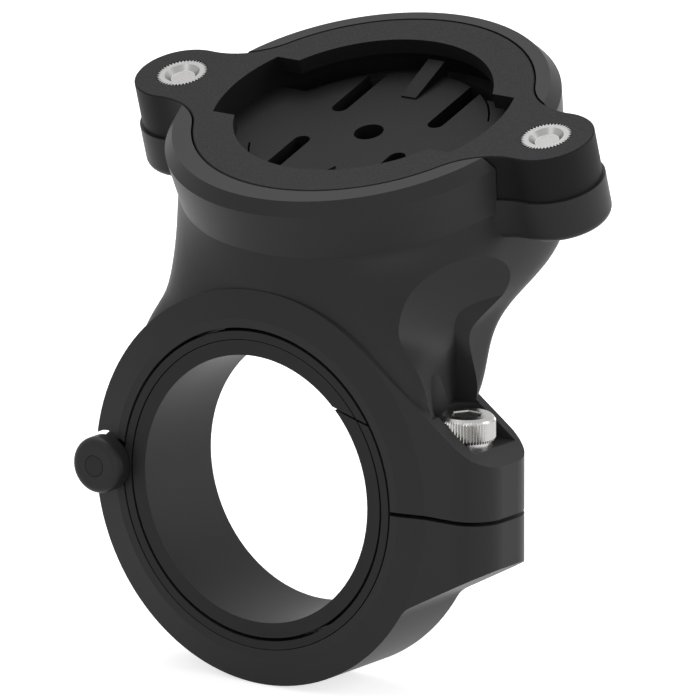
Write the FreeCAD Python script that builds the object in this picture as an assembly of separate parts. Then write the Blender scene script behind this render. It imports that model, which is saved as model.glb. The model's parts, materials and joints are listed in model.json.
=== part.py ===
import FreeCAD, Part
import math
import os

# Bike computer mount: a hinged bar clamp with a neck that leans forward and
# carries a quarter-turn socket plate. Millimetres. The origin lies on the
# bar's axis, halfway along the clamp. +X points to the clamp screw, +Y along
# the bar away from the clamp's front face, +Z up.

Vec = FreeCAD.Vector

# Bar, sleeves and clamp ring
BAR_RADIUS = 13.0
CLAMP_WIDTH = 10.64
INNER_SLEEVE_WALL = 1.45
OUTER_SLEEVE_WALL = 0.8
SLEEVE_PLAY = 0.2
SLEEVE_DROP = 0.13
SLEEVE_SLIT = 0.2
SLIT_SLOPE_DEG = -15.5
SLIT_HEIGHT = 8.6
RING_WALL = 3.6
FACE_WALL = 0.85
BEVEL_DEPTH = 0.65
SPLIT_GAP = 0.4

# Hinge on the left of the ring
HINGE_INSET = 1.85
PIN_RADIUS = 1.0
PIN_CLEARANCE = 0.05
PIN_SEAT_CLEARANCE = 0.02
BOSS_RADIUS = 2.75
BOSS_PROUD = 2.1
BOSS_ROUND = 0.8
BARREL_CLEARANCE = 0.1
HINGE_CLEARANCE = 0.25
MIDDLE_KNUCKLE_LENGTH = 5.4
KNUCKLE_SIDE_GAP = 0.2
FACE_CLEARANCE = 0.15

# Flanges and clamp screw on the right of the ring
FLANGE_REACH = 6.55
FLANGE_CORNER = 3.4
FLANGE_TANGENT_DEG = 54.0
FLANGE_END_HEIGHT = 5.3
FLANGE_EASE = 1.6
JAW_FLANGE_DEPTH = 4.66
JAW_FLANGE_SLOPE_DEG = 28.0
JAW_FILLET = 3.0
SCREW_OFFSET = 1.55
SCREW_HEAD_RADIUS = 2.74
SCREW_HEAD_HEIGHT = 2.4
SCREW_SHANK_RADIUS = 1.25
SCREW_HOLE_RADIUS = 1.6
SCREW_SOCKET_FLATS = 2.5
SCREW_SOCKET_DEPTH = 1.4
SCREW_SEAT_HEIGHT = 6.5
SCREW_TIP_DEPTH = 4.5
TIP_ROOM = 0.7
HEAD_EDGE = 0.25
WASHER_RADIUS = 2.45
WASHER_THICKNESS = 0.5
NUT_RADIUS = 2.3
NUT_BORE_RADIUS = 1.5
NUT_DEPTH = 1.0
NUT_HEIGHT = 2.4
NUT_CLEARANCE = 0.02

# Pocket round the screw and the scoop above it
POCKET_FRONT = 3.02
POCKET_BACK = 3.7
POCKET_REACH = 3.7
SCOOP_LEAD = 1.0
SCOOP_SWEEP = 24.0

# Head of the neck
HEAD_TILT_DEG = 17.05
HEAD_SETBACK = 17.44
HEAD_RISE = 14.81
HEAD_OFFSET = -0.4
RIM_WALL = 1.6
RIM_SPREAD = 0.9
CREASE_TAPER = 0.55
RIM_CHAMFER = 1.25
CREASE_DEPTH = 6.0
NECK_OVERLAP = 0.6
NECK_STEP = 0.15
NECK_SETBACK = 0.2
CAVITY_RADIUS = 13.6
CAVITY_DEPTH = 7.4

# Socket plate
PLATE_WALL = 1.6
PLATE_THICKNESS = 4.64
PLATE_EDGE = 0.12
PLATE_GAP = 0.15
EAR_STEP = 0.28
EAR_REACH = 4.8
EAR_RADIUS = 4.65
EAR_FILLET = 7.0
FILLET_POINT_DEG = 20.0
EAR_UNDER_DEPTH = 9.0
EAR_UNDER_ROUND = 0.9
EAR_UNDER_START = 9.9
SOCKET_RADIUS = 12.58
NOTCH_RADIUS = 14.9
NOTCH_HALF_WIDTH = 5.5
LIP_THICKNESS = 1.5
FLOOR_DEPTH = 3.0
FLOOR_DISC_RADIUS = 11.5
WINDOW_START = 5.0
SHORT_WINDOW_INSET = 2.8
FLOOR_SLIT = 0.2
FLOOR_SLIT_START = 5.2
FLOOR_HOLE_RADIUS = 1.45
FLOOR_SLOT_OFFSET = 5.6
FLOOR_SLOT_HALF_WIDTH = 0.85
FLOOR_SLOT_START = 2.5
RAMP_START = 6.8
RAMP_END = 12.0
RAMP_RISE = 1.34
RAMP_START_WIDTH = 1.7
RAMP_END_WIDTH = 1.9
RAMP_LEAD = 0.15

# Ear inserts and the screws that hold the plate
INSERT_RADIUS = 2.48
INSERT_HEIGHT = 3.9
INSERT_BORE_RADIUS = 1.25
INSERT_SINK_RADIUS = 1.7
INSERT_SINK_DEPTH = 0.5
INSERT_CLEARANCE = 0.02
EAR_SCREW_RADIUS = 1.2
EAR_SCREW_HOLE_RADIUS = 1.45
EAR_SCREW_TOP = 0.45
EAR_SCREW_HEAD_RADIUS = 2.75
EAR_SCREW_HEAD_HEIGHT = 1.65
EAR_SCREW_SOCKET_FLATS = 2.0
EAR_SCREW_SOCKET_DEPTH = 1.0
EAR_SCREW_HEAD_CLEARANCE = 0.1

# Worked out from the sizes above
INNER_SLEEVE_RADIUS = BAR_RADIUS + INNER_SLEEVE_WALL
OUTER_SLEEVE_BORE = INNER_SLEEVE_RADIUS + SLEEVE_PLAY
OUTER_SLEEVE_RADIUS = OUTER_SLEEVE_BORE + OUTER_SLEEVE_WALL
CLAMP_BORE = OUTER_SLEEVE_RADIUS + SLEEVE_PLAY
RING_RADIUS = CLAMP_BORE + RING_WALL
FACE_RADIUS = CLAMP_BORE + FACE_WALL
HALF_WIDTH = CLAMP_WIDTH / 2
BEVEL_FRONT = HALF_WIDTH - BEVEL_DEPTH
HALF_GAP = SPLIT_GAP / 2
HINGE_X = -(CLAMP_BORE + HINGE_INSET)
SCREW_X = RING_RADIUS + SCREW_OFFSET
FLANGE_END = RING_RADIUS + FLANGE_REACH
PLATE_RADIUS = NOTCH_RADIUS + PLATE_WALL
SHORT_WINDOW_START = FLOOR_DISC_RADIUS - SHORT_WINDOW_INSET
RIM_RADIUS = PLATE_RADIUS + PLATE_GAP + RIM_WALL
HEAD_RADIUS = RIM_RADIUS + RIM_SPREAD
CREASE_RADIUS = HEAD_RADIUS - CREASE_TAPER
EAR_SPAN = PLATE_RADIUS + EAR_REACH
HEAD_Y = HEAD_SETBACK - HALF_WIDTH
HEAD_Z = RING_RADIUS + HEAD_RISE
BEYOND = 3 * RING_RADIUS


def cylinder_y(radius, start, end, x=0.0, z=0.0):
    return Part.makeCylinder(radius, end - start, Vec(x, start, z), Vec(0, 1, 0))


def cylinder_z(radius, start, end, x=0.0, y=0.0):
    return Part.makeCylinder(radius, end - start, Vec(x, y, start), Vec(0, 0, 1))


def box(low, high):
    size = [b - a for a, b in zip(low, high)]
    return Part.makeBox(size[0], size[1], size[2], Vec(*low))


def prism(points, direction):
    wire = Part.makePolygon([Vec(*p) for p in points] + [Vec(*points[0])])
    return Part.Face(wire).extrude(Vec(*direction))


def hexagon(flats, start, end, x, y):
    corner = flats / math.sqrt(3)
    angles = [math.radians(60 * i) for i in range(6)]
    points = [(x + corner * math.cos(a), y + corner * math.sin(a), start) for a in angles]
    return prism(points, (0, 0, end - start))


def on_head(shape):
    """Turn and move a shape drawn flat, with its top at Z 0, onto the tilted head."""
    moved = shape.copy()
    turn = FreeCAD.Rotation(Vec(1, 0, 0), HEAD_TILT_DEG)
    place = FreeCAD.Placement(Vec(0, HEAD_Y, HEAD_Z), turn)
    moved.Placement = place.multiply(shape.Placement)
    return moved


def export(node, shape):
    os.makedirs("parts", exist_ok=True)
    shape = shape.removeSplitter()
    shape.exportStep(os.path.join("parts", node + ".step"))
    print(node, shape.isValid(), len(shape.Solids), round(shape.Volume, 2))


def ring_blank():
    """The clamp ring as a solid disc with both face edges bevelled."""
    points = [
        (0, -HALF_WIDTH, 0),
        (FACE_RADIUS, -HALF_WIDTH, 0),
        (RING_RADIUS, -BEVEL_FRONT, 0),
        (RING_RADIUS, BEVEL_FRONT, 0),
        (FACE_RADIUS, HALF_WIDTH, 0),
        (0, HALF_WIDTH, 0),
    ]
    wire = Part.makePolygon([Vec(*p) for p in points] + [Vec(*points[0])])
    return Part.Face(wire).revolve(Vec(0, 0, 0), Vec(0, 1, 0), 360)


def flange_plan():
    """The outline of both flanges seen from above, as a tall prism."""
    solid = box((0, -BEVEL_FRONT, -BEYOND), (FLANGE_END, BEVEL_FRONT, BEYOND))
    corners = []
    for edge in solid.Edges:
        middle = edge.CenterOfMass
        if abs(middle.x - FLANGE_END) < 0.01 and abs(middle.z) < 0.01:
            corners.append(edge)
    return solid.makeFillet(FLANGE_CORNER, corners)


def upper_flange():
    """The upper flange, whose slanted top runs off the ring as a tangent."""
    angle = math.radians(FLANGE_TANGENT_DEG)
    start_x = RING_RADIUS * math.cos(angle)
    start_z = RING_RADIUS * math.sin(angle)
    ease_x = FLANGE_END - FLANGE_EASE
    ease_z = start_z - (ease_x - start_x) / math.tan(angle)
    points = [
        (0, -BEYOND, HALF_GAP),
        (FLANGE_END, -BEYOND, HALF_GAP),
        (FLANGE_END, -BEYOND, FLANGE_END_HEIGHT),
        (ease_x, -BEYOND, ease_z),
        (start_x, -BEYOND, start_z),
        (0, -BEYOND, start_z),
    ]
    return prism(points, (0, 2 * BEYOND, 0)).common(flange_plan())


def jaw_flange():
    """The lower flange, whose sloping underside runs into the ring with a fillet."""
    slope = math.radians(JAW_FLANGE_SLOPE_DEG)
    along = (-math.cos(slope), -math.sin(slope))
    away = (math.sin(slope), -math.cos(slope))
    end = (FLANGE_END, -JAW_FLANGE_DEPTH)
    offset = [end[i] + JAW_FILLET * away[i] for i in range(2)]
    reach = RING_RADIUS + JAW_FILLET
    middle = offset[0] * along[0] + offset[1] * along[1]
    rest = offset[0] ** 2 + offset[1] ** 2 - reach ** 2
    run = -middle - math.sqrt(middle ** 2 - rest)
    centre = [offset[i] + run * along[i] for i in range(2)]
    first = [centre[i] - JAW_FILLET * away[i] for i in range(2)]
    last = [centre[i] * RING_RADIUS / reach for i in range(2)]
    half = [first[i] + last[i] - 2 * centre[i] for i in range(2)]
    length = math.hypot(half[0], half[1])
    between = [centre[i] + JAW_FILLET * half[i] / length for i in range(2)]

    def at(point):
        return Vec(point[0], -BEYOND, point[1])

    corners = [at((0, -HALF_GAP)), at((FLANGE_END, -HALF_GAP)), at(end), at(first)]
    lines = [Part.makeLine(a, b) for a, b in zip(corners, corners[1:])]
    curve = Part.Arc(at(first), at(between), at(last)).toShape()
    back = Part.makeLine(at(last), corners[0])
    face = Part.Face(Part.Wire(lines + [curve, back]))
    return face.extrude(Vec(0, 2 * BEYOND, 0)).common(flange_plan())


NECK_POINTS = 40


def neck_section(front, height, tilt_deg, depth, left, right, squareness):
    """One closed section of the neck, from a circle at the head to a rounded box."""
    tilt = math.radians(tilt_deg)
    points = []
    for i in range(NECK_POINTS):
        angle = 2 * math.pi * i / NECK_POINTS
        c = math.cos(angle)
        s = math.sin(angle)
        size = (abs(c) ** squareness + abs(s) ** squareness) ** (-1 / squareness)
        across = size * c * (right if c > 0 else left)
        along = depth / 2 * (1 + size * s)
        points.append(Vec(across, front + along * math.cos(tilt), height + along * math.sin(tilt)))
    curve = Part.BSplineCurve()
    curve.interpolate(points, PeriodicFlag=True)
    return Part.Wire(curve.toShape())


def neck():
    """The neck, lofted from the head's lower edge down into the ring."""
    tilt = math.radians(HEAD_TILT_DEG)
    depth = CREASE_DEPTH - NECK_OVERLAP
    head = CREASE_RADIUS - NECK_STEP
    run = head - HEAD_OFFSET
    head_front = HEAD_Y - run * math.cos(tilt) + depth * math.sin(tilt)
    head_height = HEAD_Z - run * math.sin(tilt) - depth * math.cos(tilt)
    head_depth = 2 * head
    front = -BEVEL_FRONT
    back = front + NECK_SETBACK
    width = 2 * BEVEL_FRONT
    ring = RING_RADIUS
    sections = [
        neck_section(head_front, head_height, HEAD_TILT_DEG, head_depth, head, head, 2.0),
        neck_section(front + 0.2, ring + 1.02, 15.5, head_depth - 0.3, head - 0.15, head - 0.2, 2.1),
        neck_section(front, ring - 2.36, 13.1, head_depth - 3.4, head - 2.2, head + 0.1, 2.9),
        neck_section(back, ring - 4.53, 9.3, head_depth - 15.8, head - 3.3, head - 0.5, 4.2),
        neck_section(back, ring - 6.66, 4.0, width + 3.6, ring - 3.9, ring - 0.35, 6.4),
        neck_section(back, ring - 9.75, 0.0, width, ring - 2.85, ring - 0.1, 10.0),
    ]
    return Part.makeLoft(sections, True, False)


def scoop_side():
    """Everything to the right of the scoop's side wall, from the screw's pocket upwards."""
    reach = FLANGE_REACH + SCREW_OFFSET
    front = -HALF_WIDTH - SCOOP_LEAD
    levels = [
        (-9.75, 0.2, -4.0, 12.0, 0.9),
        (-8.5, -0.5, -3.9, 12.0, 0.9),
        (-6.4, -1.8, -3.9, 12.0, 0.8),
        (-4.05, -5.7, -3.1, 13.0, 0.5),
        (-2.1, -7.9, -2.5, 14.5, 0.4),
        (-0.15, -9.0, -1.8, 17.0, 0.3),
        (1.85, -9.5, -1.0, 19.0, 0.2),
        (3.35, -9.3, -0.7, 19.0, 0.15),
        (4.75, -8.6, -0.4, 19.0, 0.1),
    ]
    wires = []
    for level, near, far, depth, sag in levels:
        height = RING_RADIUS + level
        chord = math.hypot(far - near, depth)
        middle = ((near + far) / 2 - sag * depth / chord, depth / 2 + sag * (far - near) / chord)
        plan = [(near, 0), middle, (far, depth), (reach, depth), (reach, 0)]
        points = [Vec(SCREW_X + x, front + y, height) for x, y in plan]
        edges = [Part.Arc(*points[:3]).toShape()]
        edges += [Part.makeLine(a, b) for a, b in zip(points[2:], points[3:] + points[:1])]
        wires.append(Part.Wire(edges))
    return Part.makeLoft(wires, True, False)


def scoop_back():
    """Everything in front of the scoop's back wall, which curls back towards its top."""
    x = SCREW_X - POCKET_REACH - SCOOP_SWEEP / 2
    wall = POCKET_BACK
    rise = RING_RADIUS + SCOOP_SWEEP / 2

    def at(y, z):
        return Vec(x, y, rise + z)

    points = [at(wall, -5.0), at(wall + 0.6, -2.6), at(wall + 2.6, -0.95)]
    points += [at(wall + 4.6, 0.25), at(wall + 6.8, 1.45), at(wall + 13.0, 4.2)]
    curve = Part.BSplineCurve()
    curve.interpolate(points, InitialTangent=Vec(0, 0, 1), FinalTangent=Vec(0, 1, 0.4))
    corners = [points[-1], at(wall + 13.0, 30.0), at(-BEYOND, 30.0), at(-BEYOND, -BEYOND)]
    corners += [at(wall, -BEYOND), points[0]]
    lines = [Part.makeLine(a, b) for a, b in zip(corners, corners[1:])]
    face = Part.Face(Part.Wire([curve.toShape()] + lines))
    return face.extrude(Vec(SCOOP_SWEEP, 0, -SCOOP_SWEEP))


def scoop():
    """The hollow in the neck's right side that lets a driver reach the clamp screw."""
    return scoop_side().common(scoop_back())


def screw_pocket():
    """The slot round the clamp screw, open towards the flange's end."""
    radius = (POCKET_FRONT + POCKET_BACK) / 2
    middle = (POCKET_BACK - POCKET_FRONT) / 2
    centre = SCREW_X - POCKET_REACH + radius
    top = RING_RADIUS - 6.0
    round_end = cylinder_z(radius, SCREW_SEAT_HEIGHT, top, centre, middle)
    straight = box(
        (centre, -POCKET_FRONT, SCREW_SEAT_HEIGHT),
        (FLANGE_END + 1, POCKET_BACK, top),
    )
    return round_end.fuse(straight)


def plate_outline(grow):
    """The plate's outline: a disc with an ear on each side and concave fillets."""
    disc = PLATE_RADIUS + grow
    ear = EAR_RADIUS + grow
    fillet = EAR_FILLET - grow
    far = disc + fillet
    near = ear + fillet
    x = (far ** 2 - near ** 2 + EAR_SPAN ** 2) / (2 * EAR_SPAN)
    y = math.sqrt(far ** 2 - x ** 2)

    def point(px, py):
        return Vec(px, py, 0)

    edges = []
    disc_x = x * disc / far
    disc_y = y * disc / far
    ear_x = EAR_SPAN + (x - EAR_SPAN) * ear / near
    ear_y = y * ear / near
    between = math.radians(FILLET_POINT_DEG)
    low_x = x - fillet * math.sin(between)
    low_y = y - fillet * math.cos(between)
    for side in (1, -1):
        edges.append(Part.Arc(point(-side * disc_x, side * disc_y), point(0, side * disc),
                              point(side * disc_x, side * disc_y)).toShape())
        edges.append(Part.Arc(point(side * disc_x, side * disc_y), point(side * low_x, side * low_y),
                              point(side * ear_x, side * ear_y)).toShape())
        edges.append(Part.Arc(point(side * ear_x, side * ear_y), point(side * (EAR_SPAN + ear), 0),
                              point(side * ear_x, -side * ear_y)).toShape())
        edges.append(Part.Arc(point(side * ear_x, -side * ear_y), point(side * low_x, -side * low_y),
                              point(side * disc_x, -side * disc_y)).toShape())
    return Part.Face(Part.Wire(Part.__sortEdges__(edges)))


def head_body():
    """The cup's rim and side, drawn flat with the top at Z 0."""
    points = [
        (0, 0),
        (RIM_RADIUS, 0),
        (HEAD_RADIUS, -RIM_CHAMFER),
        (CREASE_RADIUS, -CREASE_DEPTH),
        (0, -CREASE_DEPTH),
    ]
    wire = Part.makePolygon([Vec(p[0], HEAD_OFFSET, p[1]) for p in points + [points[0]]])
    cup = Part.Face(wire).revolve(Vec(0, HEAD_OFFSET, 0), Vec(0, 0, 1), 360)
    under = plate_outline(EAR_STEP).extrude(Vec(0, 0, PLATE_THICKNESS - EAR_UNDER_DEPTH))
    under.translate(Vec(0, 0, -PLATE_THICKNESS))
    rims = []
    for edge in under.Edges:
        far_out = abs(edge.CenterOfMass.x) > EAR_SPAN
        if far_out and abs(edge.CenterOfMass.z + EAR_UNDER_DEPTH) < 0.01:
            rims.append(edge)
    under = under.makeFillet(EAR_UNDER_ROUND, rims)
    keep_ears = []
    for side in (1, -1):
        low, high = sorted((side * EAR_UNDER_START, side * (EAR_SPAN + 2 * EAR_RADIUS)))
        keep_ears.append(under.common(box((low, -BEYOND, -BEYOND), (high, BEYOND, BEYOND))))
    return cup.fuse(keep_ears)


def ear_screw_space(grow):
    """One ear screw's outline with clearance, its head downwards, drawn flat."""
    radius = EAR_SCREW_HEAD_RADIUS + grow
    cone = Part.makeCone(radius, EAR_SCREW_RADIUS, EAR_SCREW_HEAD_HEIGHT,
                         Vec(0, 0, -EAR_UNDER_DEPTH), Vec(0, 0, 1))
    return cone


def mount_body():
    """Upper clamp half, neck and head, moulded in one piece."""
    upper = box((-BEYOND, -BEYOND, HALF_GAP), (BEYOND, BEYOND, BEYOND))
    solid = ring_blank().common(upper).fuse([upper_flange(), neck(), on_head(head_body())])
    solid = solid.common(upper)
    recess = plate_outline(PLATE_GAP).extrude(Vec(0, 0, -PLATE_THICKNESS))
    cavity = Part.makeCylinder(CAVITY_RADIUS, CAVITY_DEPTH, Vec(0, 0, -CAVITY_DEPTH))
    cuts = [
        on_head(recess),
        on_head(cavity),
        cylinder_y(CLAMP_BORE, -BEYOND, BEYOND),
        cylinder_z(SCREW_HOLE_RADIUS, 0, SCREW_SEAT_HEIGHT + 1, SCREW_X),
        screw_pocket(),
        scoop(),
    ]
    for side in (1, -1):
        hole = Part.makeCylinder(EAR_SCREW_HOLE_RADIUS, EAR_UNDER_DEPTH, Vec(0, 0, -EAR_UNDER_DEPTH))
        for space in (hole, ear_screw_space(EAR_SCREW_HEAD_CLEARANCE)):
            space.translate(Vec(side * EAR_SPAN, 0, 0))
            cuts.append(on_head(space))
    half_middle = MIDDLE_KNUCKLE_LENGTH / 2
    notch_radius = BOSS_RADIUS + HINGE_CLEARANCE
    for low, high in ((-BEYOND, -half_middle), (half_middle, BEYOND)):
        cuts.append(cylinder_y(notch_radius, low, high, HINGE_X))
    solid = solid.cut(cuts)
    knuckle = cylinder_y(BOSS_RADIUS, -half_middle, half_middle, HINGE_X)
    knuckle = knuckle.cut(cylinder_y(CLAMP_BORE, -BEYOND, BEYOND))
    solid = solid.fuse(knuckle)
    return solid.cut(cylinder_y(PIN_RADIUS + PIN_SEAT_CLEARANCE, -BEYOND, BEYOND, HINGE_X))


def hinge_boss(side):
    """A round boss that stands proud of the ring's face, with a rounded rim."""
    outer = HALF_WIDTH + BOSS_PROUD
    inner = HALF_WIDTH + FACE_CLEARANCE
    low, high = sorted((side * inner, side * outer))
    boss = cylinder_y(BOSS_RADIUS, low, high, HINGE_X)
    rims = [e for e in boss.Edges if abs(e.CenterOfMass.y - side * outer) < 0.01]
    return boss.makeFillet(BOSS_ROUND, rims)


def clamp_jaw():
    """Lower clamp half with its flange and the outer hinge knuckles."""
    lower = box((-BEYOND, -BEYOND, -BEYOND), (BEYOND, BEYOND, -HALF_GAP))
    solid = ring_blank().common(lower).fuse(jaw_flange())
    half_middle = MIDDLE_KNUCKLE_LENGTH / 2 + KNUCKLE_SIDE_GAP
    room = cylinder_y(BOSS_RADIUS + HINGE_CLEARANCE, -half_middle, half_middle, HINGE_X)
    solid = solid.cut([cylinder_y(CLAMP_BORE, -BEYOND, BEYOND), room])
    barrel_radius = HINGE_INSET - BARREL_CLEARANCE
    bore = cylinder_y(CLAMP_BORE, -BEYOND, BEYOND)
    pieces = []
    for side in (1, -1):
        low, high = sorted((side * half_middle, side * (HALF_WIDTH + FACE_CLEARANCE)))
        pieces.append(cylinder_y(barrel_radius, low, high, HINGE_X))
        pieces.append(hinge_boss(side))
        low, high = sorted((side * (HALF_WIDTH - FACE_CLEARANCE), side * (HALF_WIDTH + FACE_CLEARANCE)))
        root = cylinder_y(BOSS_RADIUS, low, high, HINGE_X).common(lower).cut(bore)
        pieces.append(root)
    solid = solid.fuse(pieces)
    nut_room = cylinder_z(NUT_RADIUS + NUT_CLEARANCE, -NUT_DEPTH - NUT_HEIGHT, 0, SCREW_X)
    tip_room = cylinder_z(SCREW_HOLE_RADIUS, -SCREW_TIP_DEPTH - TIP_ROOM, 0, SCREW_X)
    pin_room = cylinder_y(PIN_RADIUS + PIN_CLEARANCE, -BEYOND, BEYOND, HINGE_X)
    return solid.cut([nut_room, tip_room, pin_room])


def hinge_pin():
    length = HALF_WIDTH + BOSS_PROUD
    return cylinder_y(PIN_RADIUS, -length, length, HINGE_X)


def sleeve(bore, radius, drop):
    """A split sleeve, slit along one sloping line on the upper right."""
    solid = cylinder_y(radius, -HALF_WIDTH, HALF_WIDTH, 0, -drop)
    solid = solid.cut(cylinder_y(bore, -BEYOND, BEYOND, 0, -drop))
    slit_x = math.sqrt(INNER_SLEEVE_RADIUS ** 2 - SLIT_HEIGHT ** 2)
    reach = 2 * (CLAMP_BORE - BAR_RADIUS)
    slit = box((-reach, -BEYOND, -SLEEVE_SLIT / 2), (reach, BEYOND, SLEEVE_SLIT / 2))
    slit.rotate(Vec(0, 0, 0), Vec(0, 1, 0), -SLIT_SLOPE_DEG)
    slit.translate(Vec(slit_x, 0, SLIT_HEIGHT))
    return solid.cut(slit)


def clamp_screw():
    """Cap screw: a cylindrical head with a hexagon socket, and its shank."""
    under = SCREW_SEAT_HEIGHT + WASHER_THICKNESS
    top = under + SCREW_HEAD_HEIGHT
    head = cylinder_z(SCREW_HEAD_RADIUS, under, top, SCREW_X)
    rims = [e for e in head.Edges if abs(e.CenterOfMass.z - top) < 0.01]
    head = head.makeChamfer(HEAD_EDGE, rims)
    shank = cylinder_z(SCREW_SHANK_RADIUS, -SCREW_TIP_DEPTH, under + 1, SCREW_X)
    socket = hexagon(SCREW_SOCKET_FLATS, top - SCREW_SOCKET_DEPTH, top + 1, SCREW_X, 0)
    return head.fuse(shank).cut(socket)


def screw_washer():
    outer = cylinder_z(WASHER_RADIUS, SCREW_SEAT_HEIGHT, SCREW_SEAT_HEIGHT + WASHER_THICKNESS, SCREW_X)
    return outer.cut(cylinder_z(SCREW_HOLE_RADIUS, 0, BEYOND, SCREW_X))


def clamp_nut():
    outer = cylinder_z(NUT_RADIUS, -NUT_DEPTH - NUT_HEIGHT, -NUT_DEPTH, SCREW_X)
    return outer.cut(cylinder_z(NUT_BORE_RADIUS, -BEYOND, 0, SCREW_X))


def floor_slots():
    """Four straight slots in the socket's floor, each with a rounded inner end."""
    height = PLATE_THICKNESS - LIP_THICKNESS
    half = FLOOR_SLOT_HALF_WIDTH
    slots = []
    for x in (FLOOR_SLOT_OFFSET, -FLOOR_SLOT_OFFSET):
        for side in (1, -1):
            start = side * (FLOOR_SLOT_START + half)
            low, high = sorted((start, side * FLOOR_DISC_RADIUS))
            slots.append(Part.makeCylinder(half, height, Vec(x, start, -PLATE_THICKNESS)))
            slots.append(box((x - half, low, -PLATE_THICKNESS), (x + half, high, -LIP_THICKNESS)))
    return slots


def floor_windows():
    """Openings in the floor under each lip, shorter on the side where the tab ends its turn."""
    ring = Part.makeCylinder(NOTCH_RADIUS, PLATE_THICKNESS, Vec(0, 0, -PLATE_THICKNESS))
    ring = ring.cut(Part.makeCylinder(FLOOR_DISC_RADIUS, BEYOND, Vec(0, 0, -BEYOND / 2)))
    windows = []
    for side in (1, -1):
        for end, start in ((-side, WINDOW_START), (side, SHORT_WINDOW_START)):
            left, right = sorted((0, end * BEYOND))
            low, high = sorted((side * start, side * BEYOND))
            windows.append(ring.common(box((left, low, -BEYOND), (right, high, -LIP_THICKNESS))))
    return windows


def floor_slits():
    """A thin slit along the floor disc's edge, from each notch to the short end of a window."""
    ring = Part.makeCylinder(FLOOR_DISC_RADIUS + FLOOR_SLIT, PLATE_THICKNESS, Vec(0, 0, -PLATE_THICKNESS))
    ring = ring.cut(Part.makeCylinder(FLOOR_DISC_RADIUS, BEYOND, Vec(0, 0, -BEYOND / 2)))
    slits = []
    for side in (1, -1):
        left, right = sorted((0, side * BEYOND))
        low, high = sorted((side * FLOOR_SLIT_START, side * SHORT_WINDOW_START))
        slits.append(ring.common(box((left, low, -BEYOND), (right, high, -LIP_THICKNESS))))
    return slits


def detent_ramp(side):
    """A tapered ramp that rises from the floor towards the lip."""
    floor = -FLOOR_DEPTH
    top = floor + RAMP_RISE
    base = -PLATE_THICKNESS
    near = side * RAMP_START
    end = side * RAMP_END
    narrow = RAMP_START_WIDTH / 2
    wide = RAMP_END_WIDTH / 2
    plan = [(-narrow, near, base), (narrow, near, base), (wide, end, base), (-wide, end, base)]
    block = prism(plan, (0, 0, RAMP_RISE + PLATE_THICKNESS - FLOOR_DEPTH))
    section = [(-wide, near, base), (-wide, near, floor + RAMP_LEAD), (-wide, end, top), (-wide, end, base)]
    return block.common(prism(section, (2 * wide, 0, 0)))


def socket_plate():
    """Plate with a quarter-turn socket and two ears for its screws."""
    plate = plate_outline(0).extrude(Vec(0, 0, -PLATE_THICKNESS))
    rims = [e for e in plate.Edges if abs(e.CenterOfMass.z) < 0.01 and e.BoundBox.ZLength < 0.01]
    plate = plate.makeChamfer(PLATE_EDGE, rims)
    opening = Part.makeCylinder(SOCKET_RADIUS, FLOOR_DEPTH, Vec(0, 0, -FLOOR_DEPTH))
    channel = Part.makeCylinder(NOTCH_RADIUS, FLOOR_DEPTH - LIP_THICKNESS, Vec(0, 0, -FLOOR_DEPTH))
    notch = Part.makeCylinder(NOTCH_RADIUS, FLOOR_DEPTH, Vec(0, 0, -FLOOR_DEPTH))
    notch = notch.common(box((-BEYOND, -NOTCH_HALF_WIDTH, -BEYOND), (BEYOND, NOTCH_HALF_WIDTH, 0)))
    hole = Part.makeCylinder(FLOOR_HOLE_RADIUS, PLATE_THICKNESS, Vec(0, 0, -PLATE_THICKNESS))
    cuts = [opening, channel, notch, hole] + floor_slots() + floor_windows() + floor_slits()
    for side in (1, -1):
        place = Vec(side * EAR_SPAN, 0, -INSERT_HEIGHT)
        cuts.append(Part.makeCylinder(INSERT_RADIUS + INSERT_CLEARANCE, INSERT_HEIGHT, place))
        place = Vec(side * EAR_SPAN, 0, -PLATE_THICKNESS)
        cuts.append(Part.makeCylinder(EAR_SCREW_HOLE_RADIUS, PLATE_THICKNESS, place))
    plate = plate.cut(cuts)
    return on_head(plate.fuse([detent_ramp(1), detent_ramp(-1)]))


def ear_insert(side):
    """Threaded insert, flush with the ear's top, with a countersunk mouth."""
    outer = Part.makeCylinder(INSERT_RADIUS, INSERT_HEIGHT, Vec(0, 0, -INSERT_HEIGHT))
    bore = Part.makeCylinder(INSERT_BORE_RADIUS, INSERT_HEIGHT, Vec(0, 0, -INSERT_HEIGHT))
    sink = Part.makeCone(INSERT_BORE_RADIUS, INSERT_SINK_RADIUS, INSERT_SINK_DEPTH,
                         Vec(0, 0, -INSERT_SINK_DEPTH), Vec(0, 0, 1))
    solid = outer.cut([bore, sink])
    solid.translate(Vec(side * EAR_SPAN, 0, 0))
    return on_head(solid)


def ear_screw(side):
    """Countersunk screw that comes up through the ear into the insert."""
    head = ear_screw_space(0)
    length = EAR_UNDER_DEPTH - EAR_SCREW_TOP
    shank = Part.makeCylinder(EAR_SCREW_RADIUS, length, Vec(0, 0, -EAR_UNDER_DEPTH))
    socket = hexagon(EAR_SCREW_SOCKET_FLATS, -EAR_UNDER_DEPTH,
                     EAR_SCREW_SOCKET_DEPTH - EAR_UNDER_DEPTH, 0, 0)
    solid = head.fuse(shank).cut(socket)
    solid.translate(Vec(side * EAR_SPAN, 0, 0))
    return on_head(solid)


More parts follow.
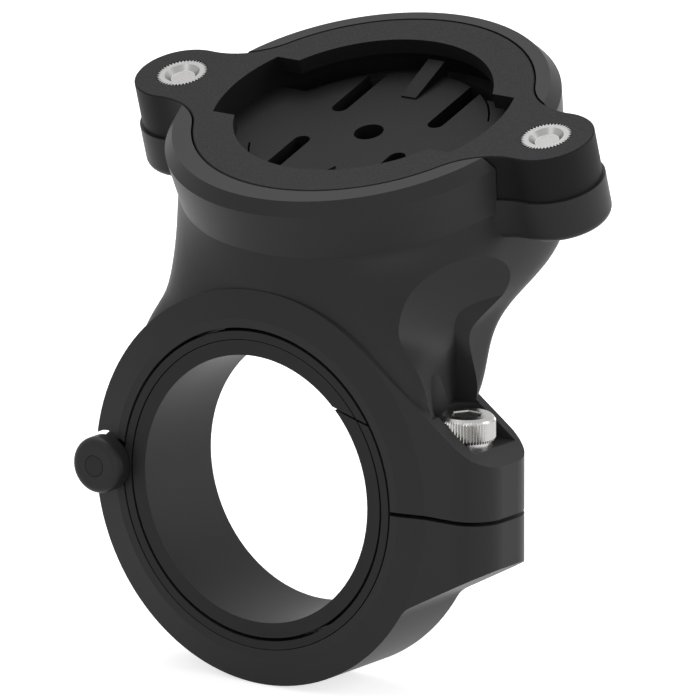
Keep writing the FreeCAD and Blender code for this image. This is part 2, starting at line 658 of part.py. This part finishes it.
def build():
    export("mount_body", mount_body())
    export("clamp_jaw", clamp_jaw())
    export("hinge_pin", hinge_pin())
    export("outer_sleeve", sleeve(OUTER_SLEEVE_BORE, OUTER_SLEEVE_RADIUS, SLEEVE_DROP))
    export("inner_sleeve", sleeve(BAR_RADIUS, INNER_SLEEVE_RADIUS, 0))
    export("clamp_screw", clamp_screw())
    export("screw_washer", screw_washer())
    export("clamp_nut", clamp_nut())
    export("socket_plate", socket_plate())
    for name, side in (("left", -1), ("right", 1)):
        export("ear_insert_" + name, ear_insert(side))
        export("ear_screw_" + name, ear_screw(side))


build()
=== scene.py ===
import json
import math

import bpy
from mathutils import Matrix, Vector


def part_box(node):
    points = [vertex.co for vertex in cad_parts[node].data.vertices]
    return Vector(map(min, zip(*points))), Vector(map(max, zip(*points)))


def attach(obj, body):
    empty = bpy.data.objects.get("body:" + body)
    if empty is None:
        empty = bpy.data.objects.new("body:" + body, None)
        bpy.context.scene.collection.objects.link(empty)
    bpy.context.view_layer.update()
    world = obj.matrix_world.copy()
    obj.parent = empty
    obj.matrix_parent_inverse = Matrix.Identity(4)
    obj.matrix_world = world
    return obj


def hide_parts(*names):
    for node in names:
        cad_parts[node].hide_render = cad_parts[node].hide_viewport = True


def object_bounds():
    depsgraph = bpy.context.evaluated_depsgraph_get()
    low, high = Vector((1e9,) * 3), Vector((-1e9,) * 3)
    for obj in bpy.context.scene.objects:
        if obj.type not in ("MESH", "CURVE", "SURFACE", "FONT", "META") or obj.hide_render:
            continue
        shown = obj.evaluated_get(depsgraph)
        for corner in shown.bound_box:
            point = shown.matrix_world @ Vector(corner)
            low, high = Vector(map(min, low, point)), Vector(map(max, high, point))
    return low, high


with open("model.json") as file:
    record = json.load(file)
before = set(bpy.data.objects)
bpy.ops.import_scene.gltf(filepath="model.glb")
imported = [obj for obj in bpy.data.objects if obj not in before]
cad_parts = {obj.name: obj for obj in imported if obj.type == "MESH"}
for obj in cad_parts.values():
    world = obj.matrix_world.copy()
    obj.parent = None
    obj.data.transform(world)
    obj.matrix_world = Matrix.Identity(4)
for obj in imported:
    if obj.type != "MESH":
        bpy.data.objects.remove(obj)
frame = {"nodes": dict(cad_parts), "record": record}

MM = 0.001

# Camera: a very long lens, so that the view is close to parallel
CAMERA_AZIMUTH_DEG = 35.7836
CAMERA_ELEVATION_DEG = 14.4894
CAMERA_LENS_MM = 1500.0
CAMERA_SENSOR_MM = 36.0
CAMERA_FAR = 20.0
VIEW_WIDTH = 66.357 * MM
AIM_RIGHT = 8.93 * MM
AIM_UP = 13.19 * MM

# Clamp screw: sizes that it shares with its solid
SCREW_HEAD_HEIGHT = 2.4 * MM
SCREW_SHANK_RADIUS = 1.25 * MM
HEAD_EDGE = 0.25 * MM
HEX_FLATS = 2.5 * MM
HEX_DEPTH = 1.4 * MM

# Clamp screw: its thread, its knurls and the broken edge of its socket, which the solid leaves out
SCREW_THREAD_PITCH = 0.5 * MM
SCREW_THREAD_DEPTH = 0.2 * MM
THREAD_POINTS = 48
THREAD_ROWS_PER_TURN = 6
SCREW_KNURLS = 58
KNURL_DEPTH = 0.15 * MM
HEX_EDGE = 0.12 * MM

# Ear inserts: sizes that they share with their solids
INSERT_RADIUS = 2.48 * MM
INSERT_HEIGHT = 3.9 * MM
INSERT_BORE_RADIUS = 1.25 * MM
INSERT_MOUTH_RADIUS = 1.7 * MM
INSERT_MOUTH_DEPTH = 0.5 * MM

# Ear inserts: the teeth round their outside, which the solids leave out
INSERT_TEETH = 44
INSERT_TOOTH_DEPTH = 0.34 * MM

# Points of the mesh to each knurl and each tooth
POINTS_PER_TOOTH = 6

# Sheen and grain of the plastics, and the speckles on the socket plate's top face
PLASTIC_SPECULAR = 0.13
GRAIN_SCALE = 5200.0
GRAIN_DETAIL = 3.0
GRAIN_HEIGHT = 0.03 * MM
SPECKLE_LOW = 0.42
SPECKLE_HIGH = 0.62
TOP_FACE_DEPTH = 0.05 * MM

# Finish of each material
BODY_FINISH = {"colour": (0.026, 0.026, 0.0265), "roughness": 0.42, "grain_strength": 0.2}
PLATE_FINISH = {"colour": (0.005, 0.005, 0.0052), "roughness": 0.55, "grain_strength": 0.7}
PLATE_SPECKLE = (0.013, 0.013, 0.013)
SLEEVE_FINISH = {"colour": (0.018, 0.018, 0.0185), "roughness": 0.42, "grain_strength": 0.2}
PIN_FINISH = {"colour": (0.02, 0.02, 0.0205), "roughness": 0.42, "grain_strength": 0.15}
STEEL_FINISH = {"colour": (0.44, 0.435, 0.425), "roughness": 0.24}
INSERT_FINISH = {"colour": (0.35, 0.35, 0.345), "roughness": 0.34}

# Lamps: places are along the camera's right, up and back from the target, in metres like the sizes
LAMP_TARGET = (0.0, 0.0, 10 * MM)
LAMP_LEVEL = 0.62
LAMPS = {
    "top_softbox": {"place": (-0.05, 0.55, -0.05), "size": (0.5, 0.4), "power": 2.4},
    "left_softbox": {"place": (-0.4, 0.3, 0.5), "size": (0.25, 0.6), "power": 0.9},
    "right_softbox": {"place": (0.6, 0.15, 0.1), "size": (0.25, 0.6), "power": 3.4},
    "front_fill": {"place": (0.1, -0.05, 0.9), "size": (0.5, 0.4), "power": 1.8},
}

# World: how strongly it lights the object, and how bright it shows
WORLD_COLOUR = (1.0, 1.0, 1.0)
FILL_LEVEL = 0.35
SEEN_LEVEL = 1.0

# Floor
FLOOR_REACH = 4.0
FLOOR_DROP = 0.05 * MM
FLOOR_COLOUR = (0.8, 0.8, 0.8)
FLOOR_GLOW = 0.7


def add_object(name, data):
    """A new object in the scene that carries this data."""
    obj = bpy.data.objects.new(name, data)
    bpy.context.scene.collection.objects.link(obj)
    return obj


def nodes_of(owner):
    """The nodes and links of a material or a world."""
    owner.use_nodes = True
    return owner.node_tree.nodes, owner.node_tree.links


def shader_of(material):
    return nodes_of(material)[0]["Principled BSDF"]


def opaque(colour):
    return (*colour, 1.0)


def calculate(nodes, links, operation, first, second, clamp=False):
    """The result of a math node, from a socket and then a number or another socket."""
    node = nodes.new("ShaderNodeMath")
    node.operation = operation
    node.use_clamp = clamp
    links.new(first, node.inputs[0])
    if isinstance(second, float):
        node.inputs[1].default_value = second
    else:
        links.new(second, node.inputs[1])
    return node.outputs["Value"]


def plate_mount():
    """The record's mount on the socket plate's top face."""
    return next(m for m in frame["record"]["mounts"] if m["name"] == "plate_top")


def plate_normal():
    """The direction that the socket plate faces."""
    return Vector(plate_mount()["axis"]).normalized()


def plate_height():
    """How far the plate's top face lies from the origin, along its normal."""
    return Vector(plate_mount()["pos_m"]).dot(plate_normal())


def add_grain(material, strength):
    """Fine moulded grain as bump on the shader's normal. Returns the noise."""
    nodes, links = nodes_of(material)
    place = nodes.new("ShaderNodeTexCoord")
    noise = nodes.new("ShaderNodeTexNoise")
    noise.inputs["Scale"].default_value = GRAIN_SCALE
    noise.inputs["Detail"].default_value = GRAIN_DETAIL
    bump = nodes.new("ShaderNodeBump")
    bump.inputs["Strength"].default_value = strength
    bump.inputs["Distance"].default_value = GRAIN_HEIGHT
    links.new(place.outputs["Object"], noise.inputs["Vector"])
    links.new(noise.outputs["Fac"], bump.inputs["Height"])
    links.new(bump.outputs["Normal"], shader_of(material).inputs["Normal"])
    return noise


def uncoloured_plastic(name, roughness, grain_strength):
    """A plastic with its sheen and grain, and the grain's noise."""
    material = bpy.data.materials.new(name)
    shader = shader_of(material)
    shader.inputs["Specular IOR Level"].default_value = PLASTIC_SPECULAR
    shader.inputs["Roughness"].default_value = roughness
    return material, add_grain(material, grain_strength)


def plastic(name, colour, roughness, grain_strength):
    """Plastic, or a coating that looks like it, in one colour."""
    material = uncoloured_plastic(name, roughness, grain_strength)[0]
    shader_of(material).inputs["Base Color"].default_value = opaque(colour)
    return material


def on_plate_top(nodes, links):
    """1 on the socket plate's top face, 0 below it."""
    place = nodes.new("ShaderNodeTexCoord")
    height = nodes.new("ShaderNodeVectorMath")
    height.operation = "DOT_PRODUCT"
    height.inputs[1].default_value = plate_normal()
    links.new(place.outputs["Object"], height.inputs[0])
    limit = plate_height() - TOP_FACE_DEPTH
    return calculate(nodes, links, "GREATER_THAN", height.outputs["Value"], limit)


def speckled_plastic(name, speckle, colour, roughness, grain_strength):
    """Plastic whose flat top face carries fine lighter speckles."""
    material, noise = uncoloured_plastic(name, roughness, grain_strength)
    nodes, links = nodes_of(material)
    speckles = nodes.new("ShaderNodeMapRange")
    speckles.inputs["From Min"].default_value = SPECKLE_LOW
    speckles.inputs["From Max"].default_value = SPECKLE_HIGH
    links.new(noise.outputs["Fac"], speckles.inputs["Value"])
    on_top = on_plate_top(nodes, links)
    share = calculate(nodes, links, "MULTIPLY", speckles.outputs["Result"], on_top)
    mix = nodes.new("ShaderNodeMix")
    mix.data_type = "RGBA"
    mix.inputs["A"].default_value = opaque(colour)
    mix.inputs["B"].default_value = opaque(speckle)
    links.new(share, mix.inputs["Factor"])
    links.new(mix.outputs["Result"], shader_of(material).inputs["Base Color"])
    return material


def metal(name, colour, roughness):
    material = bpy.data.materials.new(name)
    shader = shader_of(material)
    shader.inputs["Base Color"].default_value = opaque(colour)
    shader.inputs["Metallic"].default_value = 1.0
    shader.inputs["Roughness"].default_value = roughness
    return material


def make_materials():
    return {
        "body": plastic("body_plastic", **BODY_FINISH),
        "plate": speckled_plastic("plate_plastic", PLATE_SPECKLE, **PLATE_FINISH),
        "sleeve": plastic("sleeve_plastic", **SLEEVE_FINISH),
        "pin": plastic("pin_coating", **PIN_FINISH),
        "steel": metal("bright_steel", **STEEL_FINISH),
        "insert": metal("insert_metal", **INSERT_FINISH),
    }


def give(node, material):
    """Puts a material on a node that comes from the frame."""
    obj = frame["nodes"][node]
    for slot in obj.material_slots:
        slot.material = material
    if not obj.material_slots:
        obj.data.materials.append(material)


def dress_nodes(materials):
    for node in ("mount_body", "clamp_jaw"):
        give(node, materials["body"])
    give("socket_plate", materials["plate"])
    for node in ("outer_sleeve", "inner_sleeve"):
        give(node, materials["sleeve"])
    give("hinge_pin", materials["pin"])
    for node in ("screw_washer", "ear_screw_left", "ear_screw_right"):
        give(node, materials["steel"])
    give("clamp_nut", materials["insert"])


def ring(radius_at, height, count):
    """Points round the Z axis at one height, each at the radius for its angle."""
    points = []
    for i in range(count):
        angle = 2 * math.pi * i / count
        radius = radius_at(angle)
        points.append((radius * math.cos(angle), radius * math.sin(angle), height))
    return points


def round_at(radius):
    return lambda angle: radius


def hexagon_at(flats):
    sixth = math.pi / 3
    return lambda angle: flats / 2 / math.cos(angle % sixth - sixth / 2)


def dip(phase):
    """A triangle wave that is 0 at whole numbers and 1 halfway between them."""
    return 1 - abs(2 * (phase % 1.0) - 1)


def toothed(radius, teeth, depth):
    """A radius that dips between teeth."""
    return lambda angle: radius - depth * dip(angle * teeth / (2 * math.pi))


def threaded(height):
    """The shank's radius at one height of its thread."""
    turns = height / SCREW_THREAD_PITCH
    return lambda angle: SCREW_SHANK_RADIUS - SCREW_THREAD_DEPTH * dip(turns - angle / (2 * math.pi))


def thread_rings(bottom, top):
    rows = round((top - bottom) / SCREW_THREAD_PITCH * THREAD_ROWS_PER_TURN)
    heights = [bottom + (top - bottom) * row / rows for row in range(rows + 1)]
    return [ring(threaded(height), height, THREAD_POINTS) for height in heights]


def skin(rings, vertices, faces, closed):
    """Faces between rings of equal length: a loop if closed, or else capped at both ends."""
    count = len(rings[0])
    start = len(vertices)
    for points in rings:
        vertices.extend(points)
    pairs = list(zip(range(len(rings)), range(1, len(rings))))
    if closed:
        pairs.append((len(rings) - 1, 0))
    for a, b in pairs:
        for i in range(count):
            j = (i + 1) % count
            faces.append((start + a * count + i, start + a * count + j,
                          start + b * count + j, start + b * count + i))
    if not closed:
        faces.append(tuple(start + i for i in reversed(range(count))))
        last = start + (len(rings) - 1) * count
        faces.append(tuple(last + i for i in range(count)))


def add_piece(name, skins, closed, place, material, body, node):
    """One mesh made of skins of rings, which stands for a node."""
    vertices = []
    faces = []
    for rings in skins:
        skin(rings, vertices, faces, closed)
    mesh = bpy.data.meshes.new(name)
    mesh.from_pydata([place @ Vector(v) for v in vertices], [], faces)
    mesh.validate()
    mesh.materials.append(material)
    piece = add_object(name, mesh)
    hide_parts(node)
    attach(piece, body)


def add_clamp_screw(material):
    low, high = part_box("clamp_screw")
    radius = (high[0] - low[0]) / 2
    place = Matrix.Translation(((low[0] + high[0]) / 2, (low[1] + high[1]) / 2, 0.0))
    top = high[2]
    under = top - SCREW_HEAD_HEIGHT
    knurled = toothed(radius, SCREW_KNURLS, KNURL_DEPTH)
    root = radius - KNURL_DEPTH
    count = SCREW_KNURLS * POINTS_PER_TOOTH
    head = [
        ring(round_at(root - HEAD_EDGE), under, count),
        ring(round_at(root), under, count),
        ring(knurled, under + HEAD_EDGE, count),
        ring(knurled, top - 2 * HEAD_EDGE, count),
        ring(round_at(root), top - HEAD_EDGE, count),
        ring(round_at(root - HEAD_EDGE), top, count),
        ring(hexagon_at(HEX_FLATS + 2 * HEX_EDGE), top, count),
        ring(hexagon_at(HEX_FLATS), top - HEX_EDGE, count),
        ring(hexagon_at(HEX_FLATS), top - HEX_DEPTH, count),
    ]
    shank = thread_rings(low[2], under + HEAD_EDGE)
    add_piece("clamp_screw_knurled", [head, shank], False, place, material,
              body="screw", node="clamp_screw")


def add_ear_insert(node, material):
    low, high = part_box(node)
    normal = plate_normal()
    middle = (Vector(low) + Vector(high)) / 2
    turn = Vector((0, 0, 1)).rotation_difference(normal).to_matrix().to_4x4()
    place = Matrix.Translation(middle + normal * INSERT_HEIGHT / 2) @ turn
    outer = toothed(INSERT_RADIUS, INSERT_TEETH, INSERT_TOOTH_DEPTH)
    count = INSERT_TEETH * POINTS_PER_TOOTH
    rings = [
        ring(round_at(INSERT_BORE_RADIUS), -INSERT_HEIGHT, count),
        ring(outer, -INSERT_HEIGHT, count),
        ring(outer, 0.0, count),
        ring(round_at(INSERT_MOUTH_RADIUS), 0.0, count),
        ring(round_at(INSERT_BORE_RADIUS), -INSERT_MOUTH_DEPTH, count),
    ]
    add_piece(node + "_serrated", [rings], True, place, material,
              body="upper", node=node)


def add_details(materials):
    add_clamp_screw(materials["steel"])
    for side in ("left", "right"):
        add_ear_insert("ear_insert_" + side, materials["insert"])


def camera_axes():
    """The directions to the camera's right, up and back."""
    azimuth = math.radians(CAMERA_AZIMUTH_DEG)
    elevation = math.radians(CAMERA_ELEVATION_DEG)
    back = Vector((
        math.sin(azimuth) * math.cos(elevation),
        -math.cos(azimuth) * math.cos(elevation),
        math.sin(elevation),
    ))
    right = Vector((math.cos(azimuth), math.sin(azimuth), 0.0))
    return right, back.cross(right), back


def add_camera():
    right, up, back = camera_axes()
    ring_front = Vector((0.0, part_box("inner_sleeve")[0].y, 0.0))
    aim = ring_front + AIM_RIGHT * right + AIM_UP * up
    distance = VIEW_WIDTH * CAMERA_LENS_MM / CAMERA_SENSOR_MM
    data = bpy.data.cameras.new("camera")
    data.lens = CAMERA_LENS_MM
    data.sensor_width = CAMERA_SENSOR_MM
    data.clip_end = CAMERA_FAR
    camera = add_object("camera", data)
    turn = Matrix((right, up, back)).transposed().to_4x4()
    camera.matrix_world = Matrix.Translation(aim + distance * back) @ turn
    bpy.context.scene.camera = camera


def add_softbox(name, place, target, size, power):
    """A rectangular lamp that faces the target."""
    data = bpy.data.lights.new(name, "AREA")
    data.shape = "RECTANGLE"
    data.size = size[0]
    data.size_y = size[1]
    data.energy = power * LAMP_LEVEL
    lamp = add_object(name, data)
    lamp.location = place
    lamp.rotation_euler = (place - target).to_track_quat("Z", "Y").to_euler()


def add_lights():
    right, up, back = camera_axes()
    target = Vector(LAMP_TARGET)
    for name, lamp in LAMPS.items():
        along_right, along_up, along_back = lamp["place"]
        place = target + along_right * right + along_up * up + along_back * back
        add_softbox(name, place, target, lamp["size"], lamp["power"])


def seen_rays(nodes, links):
    """1 for rays that see or mirror the surroundings, 0 for the rays that light the object."""
    path = nodes.new("ShaderNodeLightPath")
    total = path.outputs["Is Camera Ray"]
    for kind in ("Is Glossy Ray", "Is Transmission Ray"):
        total = calculate(nodes, links, "ADD", total, path.outputs[kind], clamp=True)
    return total


def make_world():
    """A white world that lights the object at a lower level than it shows."""
    world = bpy.data.worlds.new("studio")
    bpy.context.scene.world = world
    nodes, links = nodes_of(world)
    background = nodes["Background"]
    background.inputs["Color"].default_value = opaque(WORLD_COLOUR)
    strength = nodes.new("ShaderNodeMapRange")
    strength.inputs["To Min"].default_value = FILL_LEVEL
    strength.inputs["To Max"].default_value = SEEN_LEVEL
    links.new(seen_rays(nodes, links), strength.inputs["Value"])
    links.new(strength.outputs["Result"], background.inputs["Strength"])


def floor_material():
    """A pale matte floor that glows for the rays that see it, so that it looks white."""
    material = bpy.data.materials.new("floor")
    nodes, links = nodes_of(material)
    nodes.remove(nodes["Principled BSDF"])
    diffuse = nodes.new("ShaderNodeBsdfDiffuse")
    diffuse.inputs["Color"].default_value = opaque(FLOOR_COLOUR)
    glow = nodes.new("ShaderNodeEmission")
    strength = calculate(nodes, links, "MULTIPLY", seen_rays(nodes, links), FLOOR_GLOW)
    links.new(strength, glow.inputs["Strength"])
    both = nodes.new("ShaderNodeAddShader")
    links.new(diffuse.outputs["BSDF"], both.inputs[0])
    links.new(glow.outputs["Emission"], both.inputs[1])
    links.new(both.outputs["Shader"], nodes["Material Output"].inputs["Surface"])
    return material


def add_floor():
    """A square floor just under the object."""
    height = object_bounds()[0][2] - FLOOR_DROP
    corners = [
        (-FLOOR_REACH, -FLOOR_REACH, height),
        (FLOOR_REACH, -FLOOR_REACH, height),
        (FLOOR_REACH, FLOOR_REACH, height),
        (-FLOOR_REACH, FLOOR_REACH, height),
    ]
    mesh = bpy.data.meshes.new("floor")
    mesh.from_pydata(corners, [], [(0, 1, 2, 3)])
    mesh.materials.append(floor_material())
    floor = add_object("floor", mesh)


def main():
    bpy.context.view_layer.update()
    bpy.context.scene.view_settings.view_transform = "Standard"
    materials = make_materials()
    dress_nodes(materials)
    add_details(materials)
    add_camera()
    add_lights()
    make_world()
    add_floor()


main()
